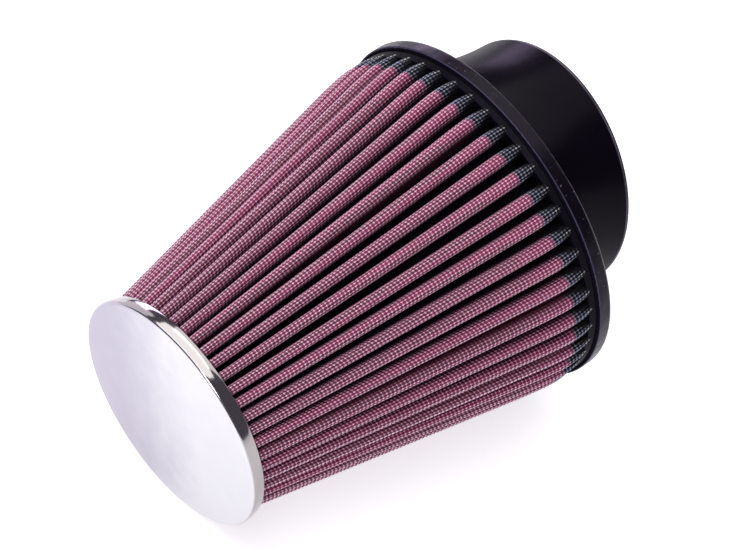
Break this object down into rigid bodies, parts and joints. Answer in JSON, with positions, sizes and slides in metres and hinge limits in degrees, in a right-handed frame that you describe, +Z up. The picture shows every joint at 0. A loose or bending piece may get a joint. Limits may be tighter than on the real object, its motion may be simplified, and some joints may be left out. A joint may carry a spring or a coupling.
{
  "type": "cone air filter",
  "caption": "Tapered pleated air filter: chrome end cap, oiled gauze folded between wire screens, moulded base ring and a tilted rubber neck with a clamp-on bore.",
  "frame": {"origin": "middle of the bounding box at its bottom, with the filter lying on its side as on a bench", "axes": "+Z up from the bench, +X from the chrome cap towards the intake neck, the filter symmetric about the XZ plane"},
  "size_m": [0.1764, 0.132, 0.132],
  "materials": {
    "cap_chrome": "polished chrome plate",
    "seal_urethane": "cast black urethane",
    "outer_wire": "epoxy coated woven wire",
    "red_gauze": "oiled cotton gauze",
    "inner_wire": "epoxy coated woven wire",
    "neck_rubber": "satin black moulded rubber"
  },
  "bodies": {
    "root": {"end_cap": "cap_chrome", "cap_potting": "seal_urethane", "outer_screen": "outer_wire", "gauze_1": "red_gauze", "gauze_2": "red_gauze", "gauze_3": "red_gauze", "gauze_4": "red_gauze", "inner_screen": "inner_wire", "base_potting": "seal_urethane", "neck_flange": "neck_rubber"}
  },
  "joints": []
}
